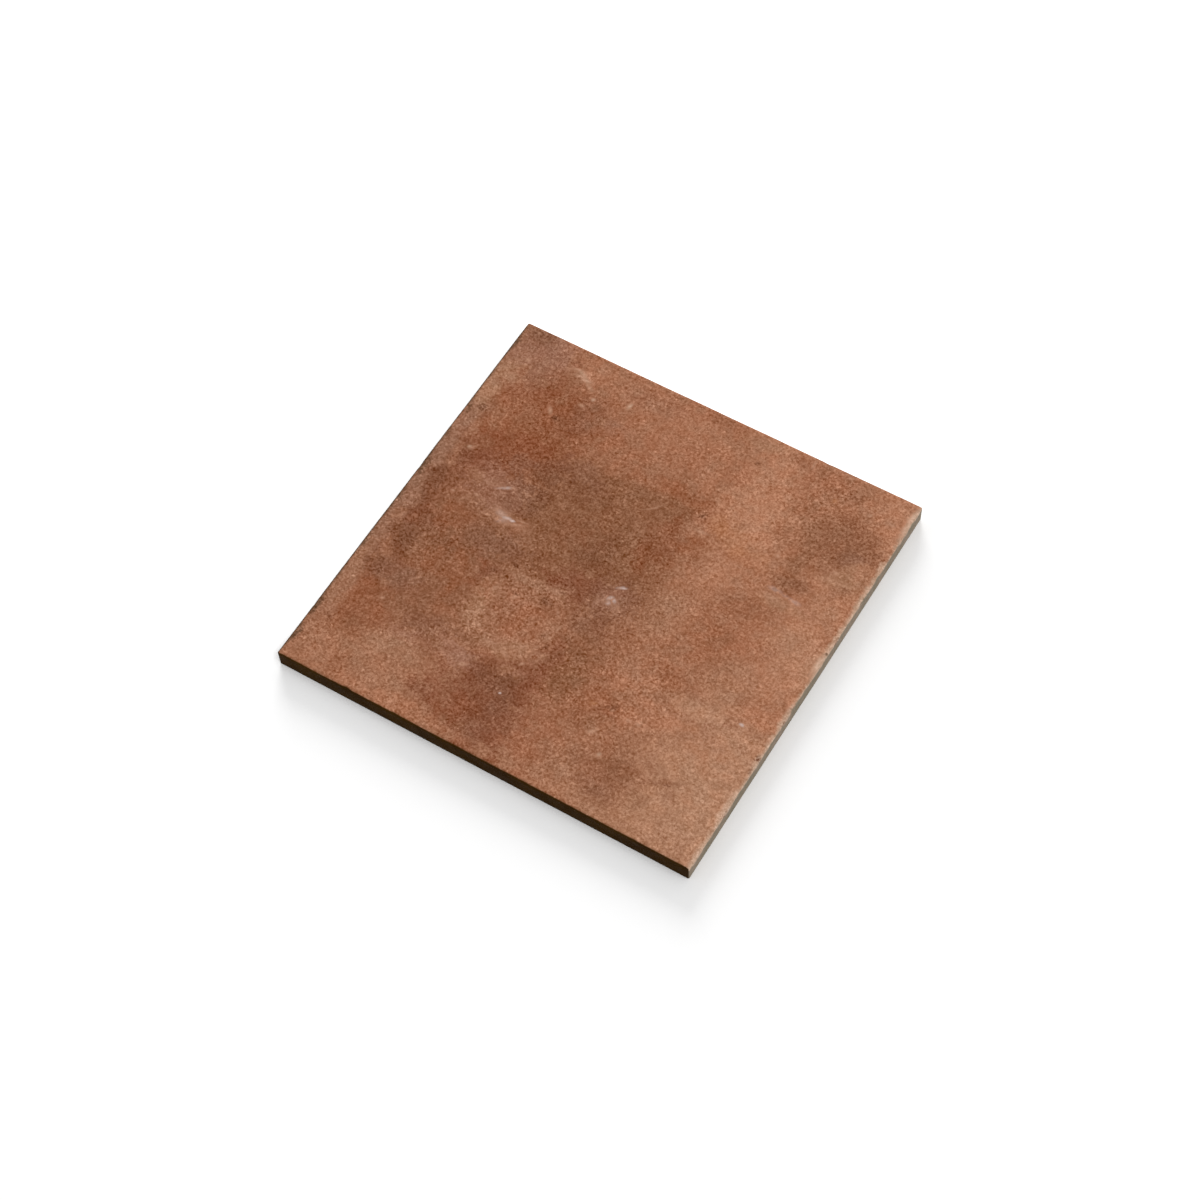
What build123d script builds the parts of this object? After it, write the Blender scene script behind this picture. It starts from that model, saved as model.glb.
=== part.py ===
from build123d import *
import math
import os

# A square floor tile of dry-pressed porcelain with a worn, wavy arris and a waffle key on its back.
# Frame: origin on the bed plane under the centre, +X and +Y along the sides, +Z out of the face.
# All sizes are in millimetres and degrees.

# Body
tile_width = 200.0       # along X, at the widest line of the sides
tile_length = 200.0      # along Y, at the widest line of the sides
tile_thickness = 9.0     # from the bed plane to the face
corner_radius = 0.8      # upright corners at the widest line
side_draft = 0.1         # lean of each side, from the widest line in to the bed
bed_bevel = 0.2          # bevel round the bed, hardly more than an eased edge

# Worn arris, a quarter ellipse between the sides and the face
arris_reach = 1.8        # how far it runs in over the face, without its waves
arris_drop = 0.8         # how far it runs down the sides
arris_strips = 5         # strips that the ellipse is ruled in
corner_wear = 1.2        # radius that the worn corners gain for each millimetre of reach
points_per_half_wave = 3  # points of an outline

# Waves of the arris: half waves along the side, and depth. A positive first half wave stands out.
front_waves = [(5, -0.10), (6, -0.09), (8, 0.09), (9, -0.08)]
right_waves = [(3, 0.14), (5, 0.06), (8, -0.08), (10, -0.10), (14, -0.08)]
back_waves = [(4, 0.08), (7, -0.11), (10, 0.06)]
left_waves = [(3, 0.09), (6, 0.07), (11, -0.08)]

# Key on the back, a waffle of shallow cells between ribs
key_cell = 12.5          # side of a cell at the bed plane
key_rib = 3.0            # rib between two cells
key_depth = 0.7          # from the bed plane to the cell's floor
key_corner = 2.0         # cut across a cell's corners, along each side
key_taper = 30.0         # lean of the cell's walls, so that it leaves the punch
key_rim = 8.0            # least plain border round the waffle


def wave(waves, share):
    """How far the arris stands out at a share of the side's length."""
    return sum(depth * math.sin(math.pi * halves * share) for halves, depth in waves)


def side_line(start, end, waves, strength):
    """One side of an outline, straight when strength is 0, with the tile on its left."""
    if strength == 0:
        return Line(start, end)
    along = (end - start).normalized()
    outward = Vector(along.Y, -along.X)
    count = points_per_half_wave * max(halves for halves, depth in waves)
    shares = [step / count for step in range(count + 1)]
    points = [start + (end - start) * share + outward * wave(waves, share) * strength for share in shares]
    return Spline(*points, tangents=[along, along])


def outline(inset, radius, strength=0.0):
    """The tile's outline, set in from the widest line, with the share of the waves that it has there."""
    half_x = tile_width / 2 - inset
    half_y = tile_length / 2 - inset
    flat_x = half_x - radius
    flat_y = half_y - radius
    lines = [
        side_line(Vector(-flat_x, -half_y), Vector(flat_x, -half_y), front_waves, strength),
        CenterArc((flat_x, -flat_y), radius, -90, 90),
        side_line(Vector(half_x, -flat_y), Vector(half_x, flat_y), right_waves, strength),
        CenterArc((flat_x, flat_y), radius, 0, 90),
        side_line(Vector(flat_x, half_y), Vector(-flat_x, half_y), back_waves, strength),
        CenterArc((-flat_x, flat_y), radius, 90, 90),
        side_line(Vector(-half_x, flat_y), Vector(-half_x, -flat_y), left_waves, strength),
        CenterArc((-flat_x, -flat_y), radius, 180, 90),
    ]
    return make_face(lines)


def pressed_body():
    """The blank: bevelled bed, drafted sides and the worn arris, ruled from outline to outline."""
    widest_height = tile_thickness - arris_drop
    sections = [
        outline(side_draft + bed_bevel, corner_radius),
        Pos(0, 0, bed_bevel) * outline(side_draft, corner_radius),
        Pos(0, 0, widest_height) * outline(0, corner_radius),
    ]
    for strip in range(1, arris_strips + 1):
        turn = math.pi / 2 * strip / arris_strips
        strength = 1 - math.cos(turn)
        inset = arris_reach * strength
        height = widest_height + arris_drop * math.sin(turn)
        sections.append(Pos(0, 0, height) * outline(inset, corner_radius + corner_wear * inset, strength))
    return loft(sections, ruled=True)


def cell_count(side):
    """An even number of cells along a side, so that ribs cross under the tile's centre."""
    pitch = key_cell + key_rib
    return 2 * math.floor((side / 2 - key_rim + key_rib / 2) / pitch)


def key_cells():
    """The waffle's cells, as solids to cut from the back."""
    pitch = key_cell + key_rib
    square = Rectangle(key_cell, key_cell)
    mouth = chamfer(square.vertices(), key_corner)
    cell = extrude(mouth, amount=key_depth, taper=key_taper)
    places = GridLocations(pitch, pitch, cell_count(tile_width), cell_count(tile_length))
    return [place * cell for place in places]


def tile():
    """The whole tile, one pressed and fired piece."""
    return pressed_body() - key_cells()


os.makedirs("parts", exist_ok=True)
export_step(tile(), "parts/tile.step")
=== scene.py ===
import math

import bmesh
import bpy
from mathutils import Matrix, Vector


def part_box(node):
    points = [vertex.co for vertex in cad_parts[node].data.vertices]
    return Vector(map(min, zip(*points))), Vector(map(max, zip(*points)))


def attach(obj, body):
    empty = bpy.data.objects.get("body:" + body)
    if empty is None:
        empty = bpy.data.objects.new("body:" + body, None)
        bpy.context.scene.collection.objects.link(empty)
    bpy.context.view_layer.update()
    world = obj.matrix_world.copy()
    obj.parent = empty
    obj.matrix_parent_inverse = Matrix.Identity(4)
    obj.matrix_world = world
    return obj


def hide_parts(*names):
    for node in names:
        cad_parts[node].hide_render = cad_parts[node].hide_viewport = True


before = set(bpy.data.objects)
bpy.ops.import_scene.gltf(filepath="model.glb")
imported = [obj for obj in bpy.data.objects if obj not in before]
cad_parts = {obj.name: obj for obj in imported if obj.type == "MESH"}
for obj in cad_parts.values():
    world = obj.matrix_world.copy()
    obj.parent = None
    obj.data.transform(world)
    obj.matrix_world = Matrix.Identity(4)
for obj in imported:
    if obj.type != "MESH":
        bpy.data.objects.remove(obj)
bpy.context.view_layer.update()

# The square porcelain tile lies on its back: +Z out of the face, origin under the centre of the bed.
# Lengths are in millimetres, and become metres where Blender takes them.
# The body is laid out as rings of points that run round it, each point over the one below it.
metre = 1000
millimetre = 0.001                        # in metres

# Body, as in the part's source
tile_low, tile_high = (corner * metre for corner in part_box("tile"))
half_width = (tile_high.x - tile_low.x) / 2
half_length = (tile_high.y - tile_low.y) / 2
thickness = tile_high.z - tile_low.z
corner_radius = 0.8
side_draft = 0.1
bed_bevel = 0.2
arris_reach = 1.8
arris_drop = 0.8
corner_wear = 1.2
front_waves = [(5, -0.10), (6, -0.09), (8, 0.09), (9, -0.08)]
right_waves = [(3, 0.14), (5, 0.06), (8, -0.08), (10, -0.10), (14, -0.08)]
back_waves = [(4, 0.08), (7, -0.11), (10, 0.06)]
left_waves = [(3, 0.09), (6, 0.07), (11, -0.08)]

# Waffle key on the back, as in the part's source
key_cell = 12.5
key_rib = 3.0
key_depth = 0.7
key_corner = 2.0
key_taper = math.radians(30)
key_count = 12
key_pitch = key_cell + key_rib

# How finely the body is laid out
steps_per_cell = 16                       # points of a ring along one cell of the key
ring_steps = key_count * steps_per_cell   # points of a ring along one side
corner_steps = 4                          # of these, points on each half of a rounded corner
plain_half = key_count * key_pitch / 2    # half of the even square inside the rings, on face and back
rim_rings = 3
side_rings = 8
arris_rings = 8
border_rings = 7
weld_reach = 0.02                         # within which points of the body and its key become one
sharp_angle = math.radians(38)            # above which an edge is left sharp

# Relief of the fired face: its slight swell and its roughness
swell_depth = 0.10
swell_size = 34.0
grain_depth = 0.035
grain_size = 3.2

# Shares of that relief
bed_relief = 0.0
side_relief = 0.5
face_relief = 1.0

# Chips and pits of the face and arris: centre, radius, depth
chips = [
    ((100, 44, 8.4), 2.6, 0.45),
    ((100, 13, 8.6), 2.2, 0.4),
    ((100, -4, 8.2), 3.0, 0.4),
    ((100, -15, 8.4), 2.0, 0.5),
    ((100, -23, 8.4), 2.4, 0.3),
    ((99, -42.5, 8.9), 1.5, 0.5),
    ((100, -71, 8.3), 2.2, 0.3),
    ((100, 78, 8.4), 2.4, 0.35),
    ((-65, -100, 8.4), 2.2, 0.3),
    ((-41, -100, 8.3), 1.8, 0.15),
    ((22, -100, 8.3), 2.2, 0.15),
    ((-100, -72, 8.4), 2.2, 0.12),
    ((-100, 10, 8.4), 3.4, 0.15),
    ((54, 100, 8.4), 2.6, 0.15),
    ((-61.5, 59.5, 9), 1.8, 0.12),
    ((21, 48, 9), 1.7, 0.12),
    ((-14.5, -21.5, 9), 2.4, 0.1),
]
chip_core = Vector((97.0, 97.0, 6.0))     # what a chip breaks in towards


def metres(point):
    """A place in metres, from one in millimetres."""
    return Vector(point) * millimetre


def wave(waves, share):
    """How far the arris stands out at a share of the side's length."""
    return sum(depth * math.sin(math.pi * halves * share) for halves, depth in waves)


def ring_of_sides(place_on_side):
    """One ring, from a function that places the steps 0 to ring_steps - 1 of a side.

    The function is given the step, the side's half length, its distance from the centre and its waves.
    It returns the place along the side, outward and up.
    """
    points = []
    for turn, waves in enumerate((front_waves, right_waves, back_waves, left_waves)):
        half_along, half_out = (half_width, half_length) if turn % 2 == 0 else (half_length, half_width)
        quarter = Matrix.Rotation(turn * math.pi / 2, 3, "Z")
        for step in range(ring_steps):
            along, out, height = place_on_side(step, half_along, half_out, waves)
            points.append(quarter @ Vector((along, -out, height)))
    return points


def outline_ring(inset, radius, height, strength=0.0):
    """A ring on the tile's outline, set in from its widest line, with that share of the arris's waves."""
    def place(step, half_along, half_out, waves):
        flat = half_along - inset - radius
        core = half_out - inset - radius
        if step < corner_steps:
            angle = math.pi / 4 * (1 - step / corner_steps)
            return -flat - radius * math.sin(angle), core + radius * math.cos(angle), height
        if step > ring_steps - corner_steps:
            angle = math.pi / 4 * (1 - (ring_steps - step) / corner_steps)
            return flat + radius * math.sin(angle), core + radius * math.cos(angle), height
        share = (step - corner_steps) / (ring_steps - 2 * corner_steps)
        return flat * (2 * share - 1), core + radius + strength * wave(waves, share), height
    return ring_of_sides(place)


def square_ring(height):
    """A ring on the even square inside the borders of the face and the back."""
    def place(step, half_along, half_out, waves):
        return plain_half * (2 * step / ring_steps - 1), plain_half, height
    return ring_of_sides(place)


def between(ring, other, share):
    """The ring that lies at a share of the way from one ring to another."""
    return [point.lerp(far, share) for point, far in zip(ring, other)]


def body_rings():
    """Every ring, each with the share of the face's relief that it takes.

    They run from the waffle's edge out over the bed, up the side, over the arris and in to the face's square.
    """
    bed_inset = side_draft + bed_bevel
    bed_edge = outline_ring(bed_inset, corner_radius, 0)
    inner = square_ring(0)
    rings = [(between(inner, bed_edge, step / rim_rings), bed_relief) for step in range(rim_rings + 1)]
    widest = thickness - arris_drop
    for step in range(side_rings + 1):
        share = step / side_rings
        height = bed_bevel + (widest - bed_bevel) * share
        rings.append((outline_ring(side_draft * (1 - share), corner_radius, height), side_relief))
    for step in range(1, arris_rings + 1):
        turn = math.pi / 2 * step / arris_rings
        strength = 1 - math.cos(turn)
        inset = arris_reach * strength
        height = widest + arris_drop * math.sin(turn)
        radius = corner_radius + corner_wear * inset
        rings.append((outline_ring(inset, radius, height, strength), face_relief))
    face_edge = rings[-1][0]
    face_square = square_ring(thickness)
    for step in range(1, border_rings + 1):
        rings.append((between(face_edge, face_square, step / border_rings), face_relief))
    return rings


def grid_place(column, row):
    """Index on a square ring of a place on the edge of a grid with ring_steps to a side, or None inside it."""
    if row == 0:
        return column
    if column == ring_steps:
        return ring_steps + row
    if row == ring_steps:
        return 3 * ring_steps - column
    if column == 0:
        return (4 * ring_steps - row) % (4 * ring_steps)
    return None


def chipped(place):
    """A place on the body, moved in where a chip or pit has broken the surface away."""
    place = Vector(place)
    for centre, radius, depth in chips:
        closeness = 1 - (place - Vector(centre)).length_squared / radius ** 2
        if closeness > 0:
            core = Vector(max(-far, min(far, along)) for along, far in zip(place, chip_core))
            place += (core - place).normalized() * depth * closeness ** 2
    return place


def body_shell():
    """The tile without its waffle, as an open mesh with each point's share of the relief."""
    shell = bmesh.new()
    relief = shell.verts.layers.float.new("relief")

    def point(place, share):
        made = shell.verts.new(metres(chipped(place)))
        made[relief] = share
        return made

    rings = [[point(place, share) for place in ring] for ring, share in body_rings()]
    for lower, upper in zip(rings, rings[1:]):
        for index in range(len(lower)):
            after = (index + 1) % len(lower)
            shell.faces.new((lower[index], lower[after], upper[after], upper[index]))
    edge = rings[-1]
    step_size = 2 * plain_half / ring_steps
    grid = {}
    for column in range(ring_steps + 1):
        for row in range(ring_steps + 1):
            index = grid_place(column, row)
            place = (column * step_size - plain_half, row * step_size - plain_half, thickness)
            grid[column, row] = point(place, face_relief) if index is None else edge[index]
    for column in range(ring_steps):
        for row in range(ring_steps):
            corners = ((column, row), (column + 1, row), (column + 1, row + 1), (column, row + 1))
            shell.faces.new([grid[corner] for corner in corners])
    mesh = bpy.data.meshes.new("body_shell")
    shell.to_mesh(mesh)
    shell.free()
    return mesh


# Profile of a cell's wall: how far each line lies in from the mouth, and its depth, as shares
wall_profile = [(-0.10, 0.0), (0.0, 0.05), (0.12, 0.2), (0.86, 0.84), (1.1, 0.96), (1.7, 1.0)]
cut_softness = 0.25            # of the cut across a cell's corner, what its ends are rounded over on each side
cut_fullness = 0.4             # of that, how far the rounded ends stand off the sides
cut_loss = 2 - math.sqrt(2)    # what a cut loses along each side for each millimetre of inset


def cut_square(half, cut):
    """A square with softly cut corners, as points that run round it."""
    soft = cut_softness * cut
    off = cut_fullness * soft
    corner = [(-half, -half + cut + soft), (-half + off, -half + cut - soft),
              (-half + cut - soft, -half + off), (-half + cut + soft, -half)]
    turns = [Matrix.Rotation(turn * math.pi / 2, 2) for turn in range(4)]
    return [turn @ Vector(place) for turn in turns for place in corner]


def key_module():
    """One pitch of the waffle: a cell with its taper and the half ribs round it, seen from below."""
    module = bmesh.new()
    half = key_pitch / 2
    border = []
    for turn in range(4):
        quarter = Matrix.Rotation(turn * math.pi / 2, 2)
        for step in range(steps_per_cell):
            place = quarter @ Vector((half * (2 * step / steps_per_cell - 1), -half))
            border.append(module.verts.new(metres((place.x, place.y, 0))))
    run = key_depth * math.tan(key_taper)
    lines = []
    for share, depth in wall_profile:
        inset = run * share
        height = key_depth * depth
        places = cut_square(key_cell / 2 - inset, key_corner - inset * cut_loss)
        lines.append([module.verts.new(metres((place.x, place.y, height))) for place in places])
    edges = []
    for loop in (border, lines[0]):
        edges += [module.edges.new((loop[index - 1], loop[index])) for index in range(len(loop))]
    bmesh.ops.triangle_fill(module, use_beauty=True, edges=edges, normal=(0, 0, -1))
    for outer, inner in zip(lines, lines[1:]):
        for index in range(len(outer)):
            module.faces.new((outer[index - 1], inner[index - 1], inner[index], outer[index]))
    module.faces.new(lines[-1])
    bmesh.ops.recalc_face_normals(module, faces=module.faces)
    if sum(face.normal.z * face.calc_area() for face in module.faces) > 0:
        bmesh.ops.reverse_faces(module, faces=module.faces)
    mesh = bpy.data.meshes.new("key_module")
    module.to_mesh(mesh)
    module.free()
    return mesh


class Tree:
    """Adds nodes to one node tree and links or sets what each is given."""

    def __init__(self, tree):
        self.nodes = tree.nodes
        self.links = tree.links

    def add(self, kind, inputs=(), **settings):
        """A node with its settings, and its inputs by socket or in the order of its sockets."""
        node = self.nodes.new(kind)
        for name, value in settings.items():
            setattr(node, name, value)
        pairs = inputs.items() if isinstance(inputs, dict) else enumerate(inputs)
        for key, value in pairs:
            self.feed(node.inputs[key], value)
        return node

    def feed(self, socket, value):
        """Links a socket, or sets a constant."""
        if isinstance(value, bpy.types.NodeSocket):
            self.links.new(value, socket)
        elif value is not None:
            socket.default_value = value

    def math(self, operation, *values):
        return self.add("ShaderNodeMath", values, operation=operation).outputs[0]

    def vector(self, operation, *values):
        node = self.add("ShaderNodeVectorMath", values, operation=operation)
        return node.outputs["Value" if operation in ("DOT_PRODUCT", "DISTANCE") else "Vector"]

    def scaled(self, vector, factor):
        inputs = {"Vector": vector, "Scale": factor}
        return self.add("ShaderNodeVectorMath", inputs, operation="SCALE").outputs[0]

    def noise(self, vector, size, detail, roughness, distortion=0.0, output="Fac"):
        """Noise whose blotches are about as wide as size, in the vector's own units."""
        inputs = {"Vector": vector, "Scale": 1 / size, "Detail": detail, "Roughness": roughness,
                  "Distortion": distortion}
        return self.add("ShaderNodeTexNoise", inputs).outputs[output]

    def ramp(self, value, low, high, start=0.0, end=1.0, smooth=True):
        """Runs from start to end as the value goes from low to high, and no further.

        A smooth ramp keeps to its ends without a clamp.
        """
        kind = "SMOOTHSTEP" if smooth else "LINEAR"
        inputs = {"Value": value, "From Min": low, "From Max": high, "To Min": start, "To Max": end}
        node = self.add("ShaderNodeMapRange", inputs, interpolation_type=kind, clamp=not smooth)
        return node.outputs["Result"]

    def mix(self, factor, first, second):
        """Mixes two colours, by the numbers that the node's sockets for a colour have."""
        return self.add("ShaderNodeMix", {0: factor, 6: first, 7: second}, data_type="RGBA").outputs[2]


def linear(value):
    """Linear light from a screen value of 0 to 255, by the usual screen curve."""
    share = value / 255
    return share / 12.92 if share <= 0.04045 else ((share + 0.055) / 1.055) ** 2.4


def paint(red, green, blue):
    """A colour from its screen values."""
    return [linear(red), linear(green), linear(blue), 1.0]


def pressed_tile_tree():
    """Roughens the shell, sets the key's cells under it and welds both into one closed body."""
    group = bpy.data.node_groups.new("pressed_tile", "GeometryNodeTree")
    sockets = (("Shell", "NodeSocketGeometry"), ("Key module", "NodeSocketObject"),
               ("Key pitch", "NodeSocketFloat"), ("Key count", "NodeSocketInt"),
               ("Swell depth", "NodeSocketFloat"), ("Swell size", "NodeSocketFloat"),
               ("Grain depth", "NodeSocketFloat"), ("Grain size", "NodeSocketFloat"),
               ("Weld reach", "NodeSocketFloat"), ("Porcelain", "NodeSocketMaterial"))
    for name, kind in sockets:
        group.interface.new_socket(name, in_out="INPUT", socket_type=kind)
    group.interface.new_socket("Tile", in_out="OUTPUT", socket_type="NodeSocketGeometry")
    tree = Tree(group)
    given = tree.add("NodeGroupInput").outputs

    place = tree.add("GeometryNodeInputPosition").outputs[0]
    relief = tree.add("GeometryNodeInputNamedAttribute", {"Name": "relief"}, data_type="FLOAT")

    def roughness(depth, size, detail):
        per_metre = tree.math("DIVIDE", 1.0, size)
        texture = tree.add("ShaderNodeTexNoise", {"Vector": place, "Scale": per_metre, "Detail": detail})
        return tree.math("MULTIPLY", tree.ramp(texture.outputs["Fac"], *usual_span), depth)

    depth = tree.math("ADD", roughness(given["Swell depth"], given["Swell size"], detail=1.0),
                      roughness(given["Grain depth"], given["Grain size"], detail=2.0))
    inward = tree.math("MULTIPLY", tree.math("MULTIPLY", depth, relief.outputs["Attribute"]), -1.0)
    normal = tree.add("GeometryNodeInputNormal").outputs[0]
    shell = tree.add("GeometryNodeSetPosition", {"Geometry": given["Shell"],
                                                 "Offset": tree.scaled(normal, inward)})

    span = tree.math("MULTIPLY", given["Key pitch"], tree.math("SUBTRACT", given["Key count"], 1.0))
    seats = tree.add("GeometryNodeMeshGrid", {"Size X": span, "Vertices X": given["Key count"],
                                              "Size Y": span, "Vertices Y": given["Key count"]})
    module = tree.add("GeometryNodeObjectInfo", {"Object": given["Key module"]})
    cells = tree.add("GeometryNodeInstanceOnPoints", {"Points": seats.outputs["Mesh"],
                                                      "Instance": module.outputs["Geometry"]})
    waffle = tree.add("GeometryNodeRealizeInstances", {"Geometry": cells.outputs["Instances"]})
    joined = tree.add("GeometryNodeJoinGeometry")
    tree.links.new(shell.outputs["Geometry"], joined.inputs[0])
    tree.links.new(waffle.outputs["Geometry"], joined.inputs[0])
    welded = tree.add("GeometryNodeMergeByDistance", {"Geometry": joined.outputs[0],
                                                      "Distance": given["Weld reach"]})
    real = tree.add("GeometryNodeRealizeInstances", {"Geometry": welded.outputs[0]})
    painted = tree.add("GeometryNodeSetMaterial", {"Geometry": real.outputs[0],
                                                   "Material": given["Porcelain"]})
    tree.links.new(painted.outputs[0], tree.add("NodeGroupOutput").inputs["Tile"])
    return group


def set_inputs(modifier, values):
    """Sets a tree's named inputs on a modifier, each by its socket's identifier."""
    for item in modifier.node_group.interface.items_tree:
        if item.item_type == "SOCKET" and item.in_out == "INPUT" and item.name in values:
            modifier[item.identifier] = values[item.name]


def make_tile(porcelain):
    """The finished tile: one closed mesh, which takes the place of the hidden part named tile."""
    module = bpy.data.objects.new("key_module", key_module())
    tile = bpy.data.objects.new("fired_tile", body_shell())
    for made in (module, tile):
        bpy.context.collection.objects.link(made)
    modifier = tile.modifiers.new("pressed_tile", "NODES")
    modifier.node_group = pressed_tile_tree()
    set_inputs(modifier, {"Key module": module, "Key pitch": key_pitch / metre, "Key count": key_count,
                          "Swell depth": swell_depth / metre, "Swell size": swell_size / metre,
                          "Grain depth": grain_depth / metre, "Grain size": grain_size / metre,
                          "Weld reach": weld_reach / metre, "Porcelain": porcelain})
    bpy.context.view_layer.update()
    evaluated = tile.evaluated_get(bpy.context.evaluated_depsgraph_get())
    mesh = bpy.data.meshes.new_from_object(evaluated)
    tile.modifiers.remove(modifier)
    tile.data = mesh
    mesh.shade_smooth()
    mesh.set_sharp_from_angle(angle=sharp_angle)
    bpy.data.objects.remove(module)
    return tile


# Noises of the material: size, detail, roughness
worm_noise = (1.15, 2, 0.6)
fleck_noise = (1.9, 2, 0.7)
loudness_noise = (16, 4, 0.7)
drift_noise = (20, 5, 0.6)
dapple_noise = (7, 6, 0.75)
mottle_noise = (8, 4, 0.75)
tint_noise = (7, 2, 0.5)
fringe_noise = (13, 4, 0.6)
wobble_noise = (7, 5, 0.65)
speck_noise = (0.9, 1, 0.5)
taupe_noise = (7, 5, 0.7)
flash_shade_noise = (12, 4, 0.6)
body_noise = (22, 5, 0.6)
wash_noise = (9, 7, 0.8)
matt_noise = (5, 4, 0.65)
bump_noise = (0.6, 2, 0.6)

# Spans of a noise's values that ramps take up, from nearly all of them to those where small spots stand out
worm_span = (0.1, 0.9)
wide_span = (0.2, 0.8)
usual_span = (0.3, 0.7)
narrow_span = (0.35, 0.65)
wash_span = (0.36, 0.66)
fleck_span = (0.62, 0.77)
speck_span = (0.68, 0.76)

# Finish of the surface
matt_range = (0.68, 0.85)      # roughness
specular_level = 0.07
bump_depth = 0.03
sheen = 0.0064                 # what the finish's own sheen adds to every colour in plain light

# Grain and mottling
face_grain = (0.75, -0.012)    # strength on the face, and an offset against the flecks' extra light
body_grain = 0.2               # strength on the sides and the back
worm_skew = 0.3                # by how much pale worms outdo dark ones
fleck_fade = (10, 60)          # where along x the flecks grow fainter
fleck_depths = (0.8, 0.4)      # before and after it
loudness_range = (1.0, 1.4)
patch_fade = (30, 16)          # how far from its centre a grain patch begins, and has all its loudness
channel_steps = (0.8, 1.1, 1.4)
mottle_depth = 0.16
warm_tint = (1.025, 0.99, 0.97, 1)
cool_tint = (0.975, 1.01, 1.03, 1)
blotch_drift = (18, 18, 0)     # how far outlines of washes and blotches wander
mark_drift = (6, 6, 0)         # and those of marks
mark_raggedness = 0.9
speck_shade = 0.55

# Paints of the fired face, as screen values
clay = (161, 110, 83)
tan = (177, 130, 102)
pink = (181, 127, 98)
rose = (170, 116, 88)
dull_rose = (158, 105, 78)
ochre = (176, 120, 86)
brick = (148, 93, 65)
red_brown = (137, 82, 56)
maroon = (131, 80, 57)
umber = (139, 92, 67)
olive = (134, 89, 63)
# Soot, also used as painted shade in the pits
soot_and_pit_shade = (118, 75, 53)
slate = (134, 92, 71)
haze = (152, 107, 86)
lilac = (161, 115, 93)
ash = (161, 116, 90)
lime = (169, 123, 95)
bone = (188, 142, 116)
dust = (147, 106, 84)
chalk = (214, 190, 182)
# Pale wear; along the right edge also a painted highlight, as is rim
wear_and_highlight = (196, 158, 133)
rim = (226, 194, 170)
# Dark paint, for grime and for painted shade along the left arris
grime_and_shade = (104, 76, 56)

# Paints of the taupe sides, of the dark umber sides on -X and -Y, which is partly kiln flash and partly
# painted shade, and of the back and the wash on it, as screen values
dark_taupe = (156, 144, 124)
pale_taupe = (178, 158, 140)
dark_flash_shade = (57, 38, 12)
pale_flash_shade = (68, 46, 15)
dark_back = (142, 118, 96)
pale_back = (160, 138, 116)
kiln_wash = (206, 200, 188)

# Bands over which looks of the tile come in, and how strong they get. By x:
rub_highlight_band = (97.3, 99.7)        # pale rub along the right edge, with a painted highlight where the arris catches the key light
rub_highlight_strength = 0.9
left_shade_band = (-98.3, -99.7)    # painted shade along the left edge, whose arris faces away from the key light
left_shade_strength = 0.7
# By height:
rim_band = (8.9, 8.0)          # palest rub and painted highlight, down over the arris
arris_band = (8.75, 8.4)       # taupe, at the highest
bare_band = (7.6, 6.5)         # taupe of the sides on +X and +Y, with its ragged edge
wash_band = (0.1, 0.03)        # kiln wash on the ribs
wash_strength = 0.75
back_height = 2.0              # the back's look ends at this height, and at back_reach from the centre
back_reach = 99.25
# By how far the surface faces up:
flash_shade_band = (0.975, 0.85)     # kiln flash and painted shade of the sides on -X and -Y, which face away from the key light
flash_shade_wobble = 0.028
# By x + y:
side_band = (-0.4, 0.4)        # from the flashed and shaded sides to the taupe ones
# By y:
climb_band = (0, 40)           # over which the taupe on +X comes to climb higher
climb = -0.8
even_band = (94, 99)           # over which its edge grows more even, for +Y
wobbles = (1.5, 0.5)           # of the edge, before and after that

# Wide washes of the face: paint, centre, half sizes, turn in degrees, strength
washes = [
    (tan, 88, -72, 32, 42, 0, 1.0),
    (pink, 40, 62, 22, 44, 0, 0.8),
    (rose, -8, 80, 50, 18, 0, 0.8),
    (rose, 84, 2, 22, 44, 0, 0.9),
    (pink, 90, 8, 12, 30, 0, 0.7),
    (rose, 34, 18, 12, 26, 0, 0.8),
    (pink, 92, 90, 14, 12, 0, 0.6),
    (dull_rose, 56, 2, 18, 24, 0, 0.6),
    (brick, -66, 56, 36, 30, 0, 0.9),
    (red_brown, -66, 30, 28, 12, 0, 0.9),
    (umber, -62, -16, 34, 36, 0, 1.0),
    (olive, -14, 16, 45, 36, 0, 0.88),
    (umber, 8, -36, 17, 24, 0, 0.7),
    (maroon, -12, -76, 26, 24, -10, 1.0),
    (umber, -64, -50, 28, 13, 10, 0.8),
    (brick, -86, -62, 12, 22, 0, 0.7),
    (clay, -62, -88, 34, 12, 0, 0.7),
    (umber, 50, -82, 13, 18, 10, 0.6),
    (dull_rose, 22, -66, 20, 34, 0, 0.7),
    (umber, 80, 64, 18, 13, 0, 0.7),
    (dust, -97, 10, 6, 88, 0, 0.8),
    (ash, -97, -52, 4, 20, 0, 0.6),
    (slate, -90, 93, 9, 7, 0, 0.7),
    (haze, -84, 84, 14, 18, 0, 0.6),
]

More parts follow.
